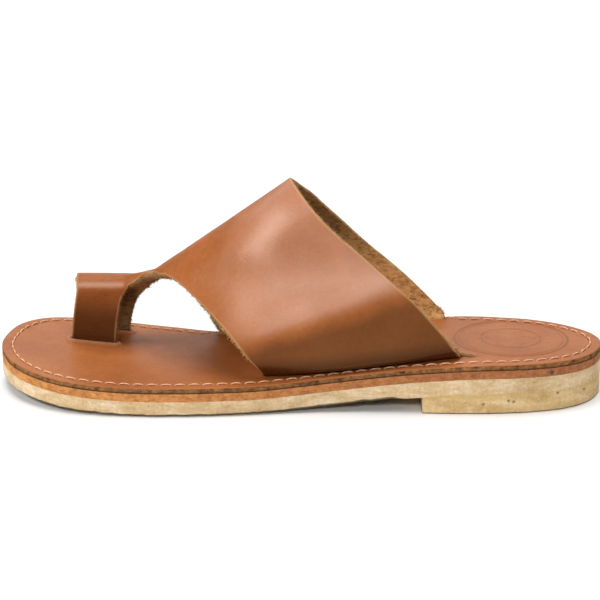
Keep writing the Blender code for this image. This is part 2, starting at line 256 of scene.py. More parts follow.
# Rough sides of the sole's layers
SIDES = {
    # node: rows of points, depth and size of the roughness, seed, holes, bevel underneath
    "midsole": (9, 0.22, 1.3, 11.0, [], 0.0),
    "outsole": (22, 0.24, 3.2, 21.0, PINHOLES, 1.5),
    "heel_lift": (26, 0.20, 3.2, 31.0, PINHOLES, 0.5),
}

# Bend along the band's little-toe side: its height at BEND_X and its climb toward the heel
BEND_X = -20.0
BEND_HEIGHT = 29.0
BEND_CLIMB = 0.33

# Lips of the slits: distance from the slit's middle, half width and height; and the ridge
# beside the pointed tail of the rear slit, from start to end
LIP_PLACE = 1.8
LIP_WIDTH = 0.8
LEG_LIP = 1.3
BAND_LIP = 0.4
TAIL_RIDGE = ((69.5, -20.5), (75.5, -24.5))

# How a slit ends at the rear: length and width
LONG_TAIL = (7.5, 5.4)
BLUNT_TAIL = (1.0, 2.7)

# Fineness of the meshes
SIDE_STATIONS = 470
HEEL_STATIONS = 300
STITCH_STATIONS = 400
TOP_COLUMNS = 118
OUTLINE_STEPS = 30
FOLD_STEPS = 7
BAND_LENGTH_STEPS = 84
# Column of the band that leads into the loop's smooth run
LEAD_COLUMN = 5
LOOP_STEPS = 8
LEG_STEPS = 7
FIBRE_SIDES = 3
FIBRE_RINGS = 3
THREAD_SIDES = 8
THREAD_RINGS = 9
# Farther than any distance that matters, in mm
FAR = 99.0

# Loose fibres: how many, shortest, most added to it, thinnest and thickest radius in mm
FIBRES = (4200, 0.5, 1.6, 0.08, 0.17)
FRINGE = (420, 0.9, 1.6, 0.13, 0.26)
# A longer step than this between two points of the edge is a break, where no fibre grows
EDGE_BREAK = 4.0


def spline(points, steps):
    """Points of a smooth open curve through the given points."""
    points = np.asarray(points, float)
    ends = np.vstack([2 * points[0] - points[1], points, 2 * points[-1] - points[-2]])
    curve = []
    for index in range(len(points) - 1):
        before, start, end, after = ends[index:index + 4]
        for step in range(steps):
            t = step / steps
            curve.append(0.5 * (2 * start + (end - before) * t
                                + (2 * before - 5 * start + 4 * end - after) * t ** 2
                                + (3 * start - before - 3 * end + after) * t ** 3))
    curve.append(points[-1])
    return np.array(curve)


def ease(t):
    """Smooth step from 0 to 1, for numbers and arrays."""
    t = np.clip(t, 0.0, 1.0)
    return t * t * (3 - 2 * t)


def bell(distance, width):
    """1 where the distance is 0, falling off smoothly over the width."""
    return np.exp(-(distance / width) ** 2)


def unit(vectors):
    return vectors / np.maximum(np.linalg.norm(vectors, axis=1), 1e-9)[:, None]


def sole_bottom(x):
    """Height of the crepe's underside over the ground at x."""
    spring = np.maximum(0.0, (SPRING_START - x) / (SPRING_START - OUTLINE[0][0]))
    rise = ease((x - ARCH_START) / (HEEL_LEVEL_FROM - ARCH_START))
    return TOE_SPRING * spring ** 2 + HEEL_RISE * rise


def insole_top(x):
    return sole_bottom(x) + STACK


def over_insole(points):
    return points[:, 2] - insole_top(points[:, 0])


def outline_sides():
    """The outline as two lines of y against x, little-toe side and big-toe side."""
    closed = OUTLINE[-1:] + OUTLINE + OUTLINE[:2]
    curve = spline(closed, OUTLINE_STEPS)[OUTLINE_STEPS:-OUTLINE_STEPS]
    toe = int(np.argmin(curve[:, 0]))
    curve = np.vstack([curve[toe:-1], curve[:toe + 1]])
    heel = int(np.argmax(curve[:, 0]))
    return curve[:heel + 1], curve[heel:][::-1]


LATERAL_SIDE, MEDIAL_SIDE = outline_sides()
TOE_X = LATERAL_SIDE[0, 0]
HEEL_X = LATERAL_SIDE[-1, 0]
CENTRE_X = (TOE_X + HEEL_X) / 2
CENTRE_Y = (LATERAL_SIDE[:, 1].min() + MEDIAL_SIDE[:, 1].max()) / 2


def side_y(side, x):
    return np.interp(x, side[:, 0], side[:, 1])


def place(points):
    """Points of the tables, in metres from the middle of the sole on the ground."""
    return (np.asarray(points, float) - (CENTRE_X, CENTRE_Y, 0)) * MM


def rough(points, size, seed=0.0):
    """Smooth noise from -1 to 1 at each point, with bumps of about the given size in mm."""
    shift = Vector((seed, seed * 1.7, seed * 2.3))
    return np.array([noise.noise(Vector(p) / size + shift) for p in points])


def sole_ring(first_lateral, first_medial, stations):
    """Plan of a layer as a ring of points: out along one side and back along the other."""
    tip = 0.05
    share = 0.5 - 0.5 * np.cos(np.pi * np.arange(stations + 1) / stations)
    sides = []
    for side, first in ((LATERAL_SIDE, first_lateral), (MEDIAL_SIDE, first_medial)):
        x = first + tip + (HEEL_X - 2 * tip - first) * share
        sides.append(np.column_stack([x, side_y(side, x)]))
    return np.vstack([sides[0], sides[1][::-1]])


def ring_inward(ring):
    """Unit directions that point into the ring."""
    ahead = unit(np.roll(ring, -1, axis=0) - ring)
    behind = unit(ring - np.roll(ring, 1, axis=0))
    along = unit(ahead + behind)
    return np.column_stack([-along[:, 1], along[:, 0]])


# Materials


# Places of the colour sockets on a mix node
MIX_SHARE, MIX_FIRST, MIX_SECOND = 0, 6, 7
MIX_RESULT = 2

# Dark, middle and light tone of the materials
UPPER_TONES = [(0.280, 0.077, 0.015), (0.340, 0.097, 0.023), (0.395, 0.121, 0.033)]
INSOLE_TONES = [(0.310, 0.090, 0.022), (0.370, 0.112, 0.029), (0.430, 0.140, 0.040)]
CREAM_TONES = [(0.50, 0.32, 0.14), (0.68, 0.49, 0.27), (0.82, 0.66, 0.46)]
HONEY_TONES = [(0.50, 0.31, 0.11), (0.68, 0.47, 0.22), (0.80, 0.60, 0.34)]
SUEDE_TONES = [(0.360, 0.150, 0.038), (1.000, 0.600, 0.240)]
UPPER_EDGE_TONES = [(0.26, 0.120, 0.040), (0.66, 0.390, 0.180)]
SLIT_EDGE_TONES = [(0.26, 0.130, 0.045), (0.62, 0.370, 0.160)]
INSOLE_EDGE_TONES = [(0.055, 0.022, 0.008), (0.420, 0.185, 0.060)]
MIDSOLE_EDGE_TONES = [(0.420, 0.150, 0.040), (0.780, 0.350, 0.110)]
THREAD_TONES = [(0.66, 0.33, 0.17), (0.92, 0.57, 0.36)]
NAIL_TONES = [(0.063, 0.0595, 0.070), (0.090, 0.0850, 0.100)]
FLOOR_TONES = [(0.86, 0.86, 0.86), (0.88, 0.88, 0.88)]

# Colours of painted highlights, painted shade, bare cut leather, glue and dirt, the share of the
# dark tone for painted shade and stamped leather, and how the midsole's edge darkens toward the heel
# Colour of the painted highlights
PAINTED_HIGHLIGHT_TONE = (0.69, 0.41, 0.31)
# Share of the dark tone used for painted shade, and for the darker stamped rings
SHADE_AND_STAMP_SHARE = 0.24
BARE_LEATHER = (0.62, 0.36, 0.15)
SHADED_SUEDE = (0.26, 0.23, 0.19)
# Painted shadow line along the insole's seam with the midsole
SEAM_SHADOW = (0.045, 0.022, 0.008)
GLUE = (0.60, 0.40, 0.10)
# Painted shade under the crepe's edge and in its pinholes, and dirt on its underside
SHADE_AND_SOIL_TONE = (0.11, 0.075, 0.030)
MIDSOLE_HEEL_TINT = (0.68, 0.60, 0.75)


class Look:
    """A Principled material whose colour, roughness and bump come from nodes."""

    def __init__(self, name):
        self.material = bpy.data.materials.new(name)
        self.material.use_nodes = True
        self.tree = self.material.node_tree
        self.shader = self.tree.nodes["Principled BSDF"]
        self.place = self.node("ShaderNodeTexCoord").outputs["Object"]

    def join(self, value, socket):
        """Link another socket to this one, or set a fixed value."""
        if isinstance(value, bpy.types.NodeSocket):
            self.tree.links.new(value, socket)
        else:
            socket.default_value = value

    def node(self, kind, inputs=(), **settings):
        made = self.tree.nodes.new(kind)
        for key, value in settings.items():
            setattr(made, key, value)
        for key, value in dict(inputs).items():
            self.join(value, made.inputs[key])
        return made

    def set(self, **values):
        """Fixed values and links on the shader; underscores stand for spaces."""
        for key, value in values.items():
            self.join(value, self.shader.inputs[key.replace("_", " ")])

    def noise(self, size, detail=3.0, roughness=0.55, stretch=(1, 1, 1)):
        """Noise from 0 to 1 with spots of about the given size in mm."""
        spread = self.node("ShaderNodeMapping", {"Vector": self.place, "Scale": stretch})
        shape = {"Scale": 1 / (size * MM), "Detail": detail, "Roughness": roughness}
        return self.node("ShaderNodeTexNoise", {"Vector": spread.outputs[0], **shape}).outputs["Fac"]

    def cells(self, size):
        """Distance from the borders of cells of about the given size in mm."""
        sockets = {"Vector": self.place, "Scale": 1 / (size * MM)}
        made = self.node("ShaderNodeTexVoronoi", sockets, feature="DISTANCE_TO_EDGE")
        return made.outputs["Distance"]

    def ramp(self, value, places, tones):
        """A colour ramp that has each tone at its place from 0 to 1."""
        made = self.node("ShaderNodeValToRGB", {"Fac": value})
        stops = made.color_ramp.elements
        while len(stops) < len(tones):
            stops.new(1.0)
        for stop, position, tone in zip(stops, places, tones):
            stop.position = position
            stop.color = (*tone, 1)
        return made.outputs["Color"]

    def fit(self, value, low, high, to_low=0.0, to_high=1.0):
        """The value stretched from one range to another and held to its ends."""
        ranges = {"From Min": low, "From Max": high, "To Min": to_low, "To Max": to_high}
        return self.node("ShaderNodeMapRange", {"Value": value, **ranges}).outputs["Result"]

    def blend(self, share, first, second, mode="MIX"):
        """Mix of two colours, each a socket or three numbers."""
        ends = [(*end, 1) if isinstance(end, tuple) else end for end in (first, second)]
        sockets = {MIX_SHARE: share, MIX_FIRST: ends[0], MIX_SECOND: ends[1]}
        made = self.node("ShaderNodeMix", sockets, data_type="RGBA", blend_type=mode)
        return made.outputs[MIX_RESULT]

    def weighted(self, *parts):
        """Sum of values, each multiplied by its weight."""
        total = 0.0
        for value, weight in parts:
            sockets = {0: value, 1: weight, 2: total}
            total = self.node("ShaderNodeMath", sockets, operation="MULTIPLY_ADD").outputs[0]
        return total

    def mask(self, name):
        return self.node("ShaderNodeAttribute", attribute_name=name).outputs["Fac"]

    def masked(self, colour, **tones):
        """The colour, turned into each tone where the mask of that name is 1."""
        for name, tone in tones.items():
            colour = self.blend(self.mask(name), colour, tone)
        return colour

    def axis(self, name):
        return self.node("ShaderNodeSeparateXYZ", {"Vector": self.place}).outputs[name]

    def bump(self, layers):
        """Bumps stacked on each other; layers are (height, depth in mm, strength)."""
        below = None
        for height, depth, strength in layers:
            sockets = {"Height": height, "Distance": depth * MM, "Strength": strength}
            if below is not None:
                sockets["Normal"] = below
            below = self.node("ShaderNodeBump", sockets).outputs[0]
        self.set(Normal=below)


def grain_leather(name, tones, gloss):
    """Smooth oiled leather, with pores and soft clouding, bare cut corners, darker stamped places,
    painted shade and painted highlights.
    """
    look = Look(name)
    cloud = look.noise(26, 4, 0.6)
    fleck = look.noise(2.2, 5, 0.65)
    grain = look.noise(1.0, 3, 0.8)
    colour = look.ramp(look.weighted((cloud, 0.64), (fleck, 0.36)), (0.36, 0.50, 0.64), tones)
    # Tone of the painted shade, which also darkens the stamped rings
    burnished = tuple(SHADE_AND_STAMP_SHARE * part for part in tones[0])
    roughness = look.weighted(
        (look.fit(look.noise(5, 4), 0.3, 0.7, gloss - 0.04, gloss + 0.07), 1.0),
        (look.mask("burnish"), 0.12),
        (look.mask("polish"), -0.15),
        (look.fit(grain, 0.3, 0.7, -0.07, 0.07), 1.0),
    )
    look.set(
        # Painted highlights, painted shade with the stamp, and bare cut leather at the edges
        Base_Color=look.masked(colour, bloom=PAINTED_HIGHLIGHT_TONE, burnish=burnished, raw=BARE_LEATHER),
        Roughness=roughness,
        Coat_Weight=0.12,
        Coat_Roughness=0.28,
        Specular_IOR_Level=0.32,
        Specular_Tint=(1.0, 0.62, 0.26, 1),
    )
    pores = look.fit(look.cells(0.55), 0.0, 0.12)
    look.bump([(look.noise(9, 3), 0.22, 0.3), (pores, 0.05, 0.45), (grain, 0.28, 1.0)])
    return look.material


def suede(name, tones):
    """Raw flesh side of the leather: short fibres, blotches and nap."""
    look = Look(name)
    blotch = look.noise(5.0, 5, 0.8)
    fibre = look.noise(1.3, 5, 0.85, (0.4, 1.0, 1.0))
    colour = look.ramp(look.weighted((blotch, 0.4), (fibre, 0.6)), (0.40, 0.53), tones)
    look.set(
        Base_Color=look.blend(look.mask("shade"), colour, SHADED_SUEDE, "MULTIPLY"),
        Roughness=0.96,
        Specular_IOR_Level=0.12,
        Sheen_Weight=0.2,
        Sheen_Roughness=0.6,
        Sheen_Tint=(0.9, 0.6, 0.35, 1),
    )
    look.bump([(blotch, 0.6, 0.6), (fibre, 0.6, 1.0)])
    return look.material


def cut_edge(name, tones, size=0.8, heel_tint=(1, 1, 1)):
    """Cut edge of leather: fibres and small tears, with painted shade in the hollows."""
    look = Look(name)
    fibre = look.noise(size, 5, 0.75, (0.5, 0.5, 1.0))
    streak = look.noise(3.5, 3, 0.6)
    # Low places of the fibre noise are darker: painted shade in the hollows
    colour = look.ramp(look.weighted((fibre, 0.6), (streak, 0.4)), (0.38, 0.62), tones)
    toward_heel = look.fit(look.axis("X"), -0.06, 0.07)
    tint = look.blend(toward_heel, (1, 1, 1), heel_tint)
    look.set(
        # The seam mask paints a shadow line along the insole's seam
        Base_Color=look.blend(1.0, look.masked(colour, seam=SEAM_SHADOW), tint, "MULTIPLY"),
        Roughness=0.88,
        Specular_IOR_Level=0.25,
    )
    look.bump([(streak, 0.5, 0.5), (fibre, 0.5, 1.0)])
    return look.material


def crepe(name, tones):
    """Crepe rubber: matt, faintly clouded, with crumbs and fine knife marks."""
    look = Look(name)
    cloud = look.noise(9, 6, 0.72, (0.5, 0.5, 1.5))
    crumb = look.noise(1.2, 4, 0.75)
    knife = look.noise(1.6, 3, 0.6, (1.0, 1.0, 0.12))
    tone = look.weighted((cloud, 0.62), (crumb, 0.25), (knife, 0.13))
    look.set(
        # Painted shade under the bevel and in the pinholes, dirt on the underside, and glue at the
        # lift's top
        Base_Color=look.masked(look.ramp(tone, (0.38, 0.50, 0.60), tones), seam=GLUE, soil=SHADE_AND_SOIL_TONE),
        Roughness=0.72,
        Specular_IOR_Level=0.35,
        Subsurface_Weight=0.06,
        Subsurface_Radius=(0.004, 0.0025, 0.0012),
        Subsurface_Scale=0.5,
    )
    look.bump([(cloud, 0.4, 0.3), (crumb, 0.25, 0.6), (knife, 0.12, 0.5)])
    return look.material


def thread_look(name, tones):
    """Waxed linen thread."""
    look = Look(name)
    ply = look.noise(0.5, 2, 0.5, (1.0, 1.0, 0.4))
    look.set(Base_Color=look.ramp(ply, (0.35, 0.65), tones), Roughness=0.62)
    look.bump([(ply, 0.12, 0.7)])
    return look.material


def plain_look(name, tones, size, detail, **values):
    """One tone that clouds into another, with fixed values on the shader."""
    look = Look(name)
    look.set(Base_Color=look.ramp(look.noise(size, detail), (0.3, 0.7), tones), **values)
    return look.material


# Meshes


def new_object(name, verts, faces, looks, indices=None):
    mesh = bpy.data.meshes.new(name)
    mesh.from_pydata([tuple(v) for v in verts], [], faces)
    for look in looks:
        mesh.materials.append(look)
    if indices is not None:
        mesh.polygons.foreach_set("material_index", indices)
    mesh.shade_smooth()
    made = bpy.data.objects.new(name, mesh)
    bpy.context.scene.collection.objects.link(made)
    return made


def baked(piece):
    """Replace the piece's mesh by what its modifiers make of it."""
    graph = bpy.context.evaluated_depsgraph_get()
    graph.update()
    mesh = bpy.data.meshes.new_from_object(piece.evaluated_get(graph))
    piece.modifiers.clear()
    piece.data = mesh
    return mesh


def ring_faces(first, rings, sides):
    """Faces between rings of points that follow each other."""
    faces = []
    for low in range(first, first + (rings - 1) * sides, sides):
        for side in range(sides):
            after = (side + 1) % sides
            faces.append((low + side, low + after, low + sides + after, low + sides + side))
    return faces


def round_ring(centre, across, up, radius, sides):
    """Points of a circle round the centre."""
    ring = []
    for side in range(sides):
        turn = 2 * math.pi * side / sides
        ring.append(centre + radius * (math.cos(turn) * across + math.sin(turn) * up))
    return ring


def tube_faces(first, rings, sides):
    """Faces between rings, and a cap on either end."""
    last = first + (rings - 1) * sides
    caps = [tuple(range(first, first + sides))[::-1], tuple(range(last, last + sides))]
    return ring_faces(first, rings, sides) + caps


def set_masks(mesh, **masks):
    """Values from 0 to 1 on the mesh's points, which the looks read by name."""
    for name, values in masks.items():
        mask = mesh.attributes.new(name, "FLOAT", "POINT")
        mask.data.foreach_set("value", np.asarray(values, np.float32))


def distance_to(points, line):
    """Distance of each point from the nearest point of a line."""
    nearest = np.full(len(points), FAR)
    for piece in np.array_split(line, 24):
        gap = np.linalg.norm(points[:, None] - piece[None], axis=2).min(axis=1)
        nearest = np.minimum(nearest, gap)
    return nearest


def segment_distance(points, start, end):
    """Distance of each point from a segment, and the share along it."""
    start, end = np.asarray(start, float), np.asarray(end, float)
    along = end - start
    share = np.clip((points - start) @ along / (along @ along), 0, 1)
    return np.linalg.norm(points - (start + share[:, None] * along), axis=1), share


def near_lines(points, table):
    """For each row of a table: how near the points are, their share along it, and the rest."""
    for x1, y1, z1, x2, y2, z2, width, *rest in table:
        distance, share = segment_distance(points, (x1, y1, z1), (x2, y2, z2))
        yield bell(distance, width), share, rest


# The upper


def curl_rows(name):
    """Fold lines of the band's tucked edge, from under the insole up round the curl."""
    front_x, front_y, rear_x, rear_y, side = SLITS[name]
    front_bulge, rear_bulge, extra, front_lean, rear_lean = CURL_ENDS[name]
    rows = []
    for height, lateral_share, medial_share in CURL:
        share = lateral_share if side < 0 else medial_share
        lift = max(0.0, height)
        front = (front_x + front_lean * lift, front_y + side * front_bulge * share)
        rear = (rear_x + rear_lean * lift, rear_y + side * rear_bulge * share)
        rows.append((front, rear, height, side * extra * share))
    return rows


def band_line(front, rear, swell, share):
    """A point on a fold line between the front edge and the collar."""
    point = (1 - share) * np.asarray(front, float) + share * np.asarray(rear, float)
    point[1] += swell * 4 * share * (1 - share)
    return point


def band_grid():
    """Points of the band's grain face: rows of folds, and columns from front to collar."""
    shares = np.linspace(0, 1, BAND_LENGTH_STEPS + 1)
    lateral, medial = [], []
    for rows, name in ((lateral, "lateral_band"), (medial, "medial_band")):
        for front, rear, height, swell in curl_rows(name):
            line = []
            for share in shares:
                x, y = band_line(front, rear, swell, share)
                line.append((x, y, insole_top(x) + height))
            rows.append(line)
    folds = []
    for *ends, swell in BAND_FOLDS:
        folds.append([band_line(ends[:3], ends[3:], swell, share) for share in shares])
    smooth = np.array(lateral[STRAIGHT_ROWS:] + folds + medial[::-1][:-STRAIGHT_ROWS])
    columns = [spline(smooth[:, index], FOLD_STEPS) for index in range(len(shares))]
    body = np.stack(columns, axis=1)
    first_fold = STRAIGHT_ROWS + (len(lateral) - STRAIGHT_ROWS) * FOLD_STEPS
    return np.concatenate([lateral[:STRAIGHT_ROWS], body, medial[:STRAIGHT_ROWS][::-1]]), first_fold


def loop_grids(band, first_fold):
    """Grids of the loop's top and of its two legs, sharing their edges with the band."""
    first = first_fold + NECK_FIRST * FOLD_STEPS
    last = first_fold + NECK_LAST * FOLD_STEPS
    behind = band[first:last + 1, LEAD_COLUMN]
    neck = band[first:last + 1, 0]
    rows = np.array([spline(row, FOLD_STEPS) for row in LOOP_ROWS])
    columns = []
    for index in range(len(neck)):
        control = np.vstack([behind[index], neck[index], rows[:, index]])
        columns.append(spline(control, LOOP_STEPS)[LOOP_STEPS:])
    top = np.array(columns)
    start = (LEG_ROW + 1) * LOOP_STEPS
    legs = []
    for name, edge, beside in (("near_leg", 0, FOLD_STEPS), ("far_leg", -1, -1 - FOLD_STEPS)):
        front_x, front_y, rear_x, rear_y, _side = SLITS[name]
        shoulder = top[edge, start:]
        reach = (shoulder[:, 0] - shoulder[0, 0]) / (shoulder[-1, 0] - shoulder[0, 0])
        grid = []
        for number, share in enumerate(reach):
            control = [top[beside, start + number], shoulder[number]]
            for row in LEG_ROWS[name] + [(rear_x, rear_y, 0.0, front_x, front_y, 0.0)]:
                rear, front = np.array(row[:3]), np.array(row[3:])
                x, y, height = rear + (front - rear) * share
                control.append((x, y, insole_top(x) + height))
            line = spline(control, LEG_STEPS)[LEG_STEPS:]
            grid.append(np.vstack([line, (x, y, insole_top(x) - INSOLE_THICK)]))
        legs.append(np.array(grid))
    return top, legs


def neighbour_mean(values, links):
    """Mean of each point's neighbours; links are pairs of point numbers."""
    count = len(values)
    uses = np.bincount(links.ravel(), minlength=count)[:, None]
    total = np.zeros_like(values)
    for axis in range(values.shape[1]):
        total[:, axis] = np.bincount(links[:, 0], values[links[:, 1], axis], count)
        total[:, axis] += np.bincount(links[:, 1], values[links[:, 0], axis], count)
    return total / np.maximum(uses, 1)


def sheet_normals(points, quads):
    a, b, c, d = (points[quads[:, corner]] for corner in range(4))
    across = np.cross(c - a, d - b)
    normals = np.zeros_like(points)
    for corner in range(4):
        np.add.at(normals, quads[:, corner], across)
    return unit(normals)


def free_edge(quads):
    """Points of the sheet's free edge, in order."""
    steps = set()
    for a, b, c, d in quads.tolist():
        steps.update(((a, b), (b, c), (c, d), (d, a)))
    after = {a: b for a, b in steps if (b, a) not in steps}
    loop = [min(after)]
    while after[loop[-1]] != loop[0]:
        loop.append(after[loop[-1]])
    return np.array(loop)


def sheet_links(quads, loop):
    """Neighbours over the sheet; points of the free edge only follow the edge."""
    links = np.vstack([quads[:, [0, 1]], quads[:, [1, 2]], quads[:, [2, 3]], quads[:, [3, 0]]])
    links = np.unique(np.sort(links, axis=1), axis=0)
    on_edge = np.zeros(links.max() + 1, bool)
    on_edge[loop] = True
    inner = links[~(on_edge[links[:, 0]] | on_edge[links[:, 1]])]
    mixed = links[on_edge[links[:, 0]] ^ on_edge[links[:, 1]]]
    rim = np.column_stack([loop, np.roll(loop, -1)])
    return inner, mixed, rim, on_edge


def relaxed(values, links, share, passes):
    """Smooth values over the sheet, and along its edge on its own."""
    inner, mixed, rim, on_edge = links
    body = np.vstack([inner, mixed])
    for _ in range(passes):
        mean = neighbour_mean(values, body)
        mean[on_edge] = neighbour_mean(values, rim)[on_edge]
        values = values + (mean - values) * share
    return values


def upper_sheet():
    """The grain face of the upper, in mm, as points and four-sided faces."""
    band, first_fold = band_grid()
    top, legs = loop_grids(band, first_fold)
    bm = bmesh.new()
    for grid, flip in ((band, False), (top, True), (legs[0], True), (legs[1], False)):
        verts = [[bm.verts.new(point) for point in row] for row in grid]
        for low, high in zip(verts, verts[1:]):
            for index in range(len(low) - 1):
                face = [low[index], low[index + 1], high[index + 1], high[index]]
                if flip:
                    face.reverse()
                bm.faces.new(face)
    bmesh.ops.remove_doubles(bm, verts=bm.verts, dist=0.002)
    bm.verts.ensure_lookup_table()
    points = np.array([vert.co[:] for vert in bm.verts])
    quads = np.array([[vert.index for vert in face.verts] for face in bm.faces if len(face.verts) == 4])
    bm.free()
    return points, quads


def creased(points, normals):
    """The grain face with its soft folds and slight unevenness."""
    height = over_insole(points)
    lift = np.zeros(len(points))
    for near, share, (rise,) in near_lines(points, CREASES):
        lift += rise * ease(4 * np.minimum(share, 1 - share)) * near
    lift += 0.20 * rough(points, 19.0, 3.0) + 0.05 * rough(points, 7.0, 5.0)
    return points + normals * (lift * ease(height / 8.0))[:, None]


def bend_height(x):
    return BEND_HEIGHT + BEND_CLIMB * (x - BEND_X)


def upper_painted_shade(points, heights):
    """Painted shade under the band's bend, along its foot and down the legs of the loop, from 0 to 1.

    Places and widths here and in the masks below are in mm.
    """
    x, y, z = points.T
    bend = bend_height(x) + 2.0 * rough(points, 12.0, 61.0)
    side = ease((x + 50.0) / 12.0) * ease((4.0 - y) / 8.0)
    band_low = (0.66 * ease((bend + 1.0 - z) / 8.0) + 0.34 * ease((11.0 - heights) / 8.0)) * side
    leg_low = 0.90 * ease((40.0 - heights + insole_top(x)) / 34.0 - 0.1) * (x < -60)
    leg_low = leg_low * ease((30.0 - heights) / 20.0) * (1 - 0.5 * ease((y - 12.0) / 8.0))
    foot = 0.5 * np.exp(-np.maximum(0.0, heights) / 1.6)
    return np.clip(np.maximum(band_low, leg_low) + foot, 0, 1)


def upper_bloom(points):
    """Painted highlight: paler colour on the band's upper half, which faces the light, and in a few
    spots, from 0 to 1.
    """
    x, y, z = points.T
    side = ease((x + 40.0) / 26.0) * ease((4.0 - y) / 8.0)
    spread = 0.75 + 0.25 * rough(points, 12.0, 63.0)
    bloom = 0.34 * spread * ease((z - bend_height(x) + 2.0) / 8.0) * side
    for near, _share, (pale,) in near_lines(points, PAINTED_HIGHLIGHTS):
        bloom += pale * near
    return np.clip(bloom, 0, 1)


def upper_polish(points):
    """Spots where the grain has been rubbed smoother, from 0 to 1."""
    return np.max([near for near, _share, _rest in near_lines(points, POLISHED)], axis=0)


def suede_shade(points, heights):
    """Darker suede under the top of the collar, in front and round the toe loop."""
    top = 0.95 * ease((heights - 22.0) / 30.0)
    front = 0.75 * ease((-20.0 - points[:, 0]) / 25.0)
    blotch = 0.18 * rough(points, 4.0, 51.0)
    leg = 1.3 * ease((-70.0 - points[:, 0]) / 8.0) * ease((34.0 - heights) / 14.0)
    return np.clip(np.maximum(np.maximum(top, front), leg) + blotch, 0, 1)


def cut_rows(rim, rim_inside, out, free):
    """Rows of points down the cut edge, from the grain to the flesh."""
    rows = []
    for number, (share, stand, ragged) in enumerate(EDGE_PROFILE):
        row = rim * (1 - share) + rim_inside * share
        tear = ragged * (rough(row, 0.9, 20.0 + number) + 0.7 * rough(row, 2.6, 30.0))
        rows.append(row + out * ((stand + tear) * free)[:, None])
    return rows


def upper_faces(quads, loop, count):
    """Faces of the grain, the flesh and the cut edge, and the look that each of them has."""
    rings = [loop]
    for number in range(len(EDGE_PROFILE)):
        rings.append(2 * count + number * len(loop) + np.arange(len(loop)))
    rings.append(loop + count)
    faces = quads.tolist() + (quads[:, ::-1] + count).tolist()
    indices = [0] * len(quads) + [1] * len(quads)
    for outer, inner in zip(rings, rings[1:]):
        faces += np.column_stack([outer, inner, np.roll(inner, -1), np.roll(outer, -1)]).tolist()
        indices += [2] * len(loop)
    return faces, indices


def build_upper(grain, flesh, edge):
    """The leather in one sheet: grain face, suede face and the cut edge between them."""
    points, quads = upper_sheet()
    loop = free_edge(quads)
    links = sheet_links(quads, loop)
    normals = unit(relaxed(sheet_normals(points, quads), links, 0.5, 4))
    points = creased(points, normals)
    normals = unit(relaxed(sheet_normals(points, quads), links, 0.5, 10))
    inside = relaxed(points - normals * UPPER_THICK, links, 0.6, 12)
    nap = 0.14 * rough(inside, 2.2, 13.0) + 0.10 * rough(inside, 0.9, 14.0)
    height = over_insole(points)
    inside += normals * (nap * ease(height / 2.0) - 0.05)[:, None]

    rim, rim_inside, rim_normals = points[loop], inside[loop], normals[loop]
    along = unit(np.roll(rim, -1, axis=0) - np.roll(rim, 1, axis=0))
    out = unit(np.cross(along, rim_normals))
    free = ease(height[loop] / 2.0)
    fray = 0.38 * rough(rim_inside, 1.5, 41.0) * free
    inside[loop] += out * fray[:, None]
    verts = np.vstack([points, inside] + cut_rows(rim, rim_inside, out, free))
    faces, indices = upper_faces(quads, loop, len(points))
    upper = new_object("upper_leather", place(verts), faces, [grain, flesh, edge], indices)

    from_edge = np.full(len(verts), FAR)
    from_edge[:len(points)] = distance_to(points, rim)
    heights = over_insole(verts)
    set_masks(
        upper.data,
        burnish=upper_painted_shade(verts, heights),
        bloom=upper_bloom(verts),
        polish=upper_polish(verts),
        raw=0.6 * bell(from_edge, 0.3) * ease(heights / 4.0),
        shade=suede_shade(verts, heights),
    )
    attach(upper, "root")
    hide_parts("upper")

    roots = rim * 0.25 + rim_inside * 0.75
    all_round = np.flatnonzero(height[loop] > 1.5)
    front = (rim[:, 0] > -48.0) & (rim[:, 0] < -19.0) & (rim[:, 1] < -18.0)
    fringe = np.flatnonzero(front & (height[loop] > 8.0))
    for name, kept, sizes in (("edge_fibres", all_round, FIBRES), ("front_fringe", fringe, FRINGE)):
        build_fibres(name, roots[kept], out[kept], -rim_normals[kept], along[kept], flesh, sizes)


def build_fibres(name, roots, out, inward, along, look, sizes):
    """Short loose fibres that stand out of a cut edge."""
    count, shortest, longer, thinnest, thickest = sizes
    chance = np.random.default_rng(7)
    verts, faces = [], []
    for _ in range(count):
        pick = int(chance.integers(len(roots) - 1))
        share = chance.random()
        root = roots[pick] * (1 - share) + roots[pick + 1] * share
        if np.linalg.norm(roots[pick + 1] - roots[pick]) > EDGE_BREAK:
            continue
        root = root + inward[pick] * chance.uniform(-0.3, 0.9)
        way = out[pick] * chance.uniform(0.5, 1.2) + inward[pick] * chance.uniform(-0.2, 0.9)
        way = way + along[pick] * chance.normal(0, 0.7)
        way /= np.linalg.norm(way)
        length = shortest + longer * chance.random() ** 3
        thick = chance.uniform(thinnest, thickest)
        sag = np.cross(way, chance.normal(0, 1, 3))
        base = len(verts)
        side = np.cross(way, (0.3, 0.5, 0.8))
        side /= np.linalg.norm(side)
        other = np.cross(way, side)
        for reach in np.linspace(0, 1, FIBRE_RINGS):
            spine = root - way * 0.15 + way * length * reach + sag * 0.18 * length * reach ** 2
            verts += round_ring(spine, side, other, thick * (1 - 0.85 * reach), FIBRE_SIDES)
        faces += tube_faces(base, FIBRE_RINGS, FIBRE_SIDES)
    verts = np.array(verts)
    fibres = new_object(name, place(verts), faces, [look])
    set_masks(fibres.data, shade=0.6 * suede_shade(verts, over_insole(verts)))
    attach(fibres, "root")


# The sole


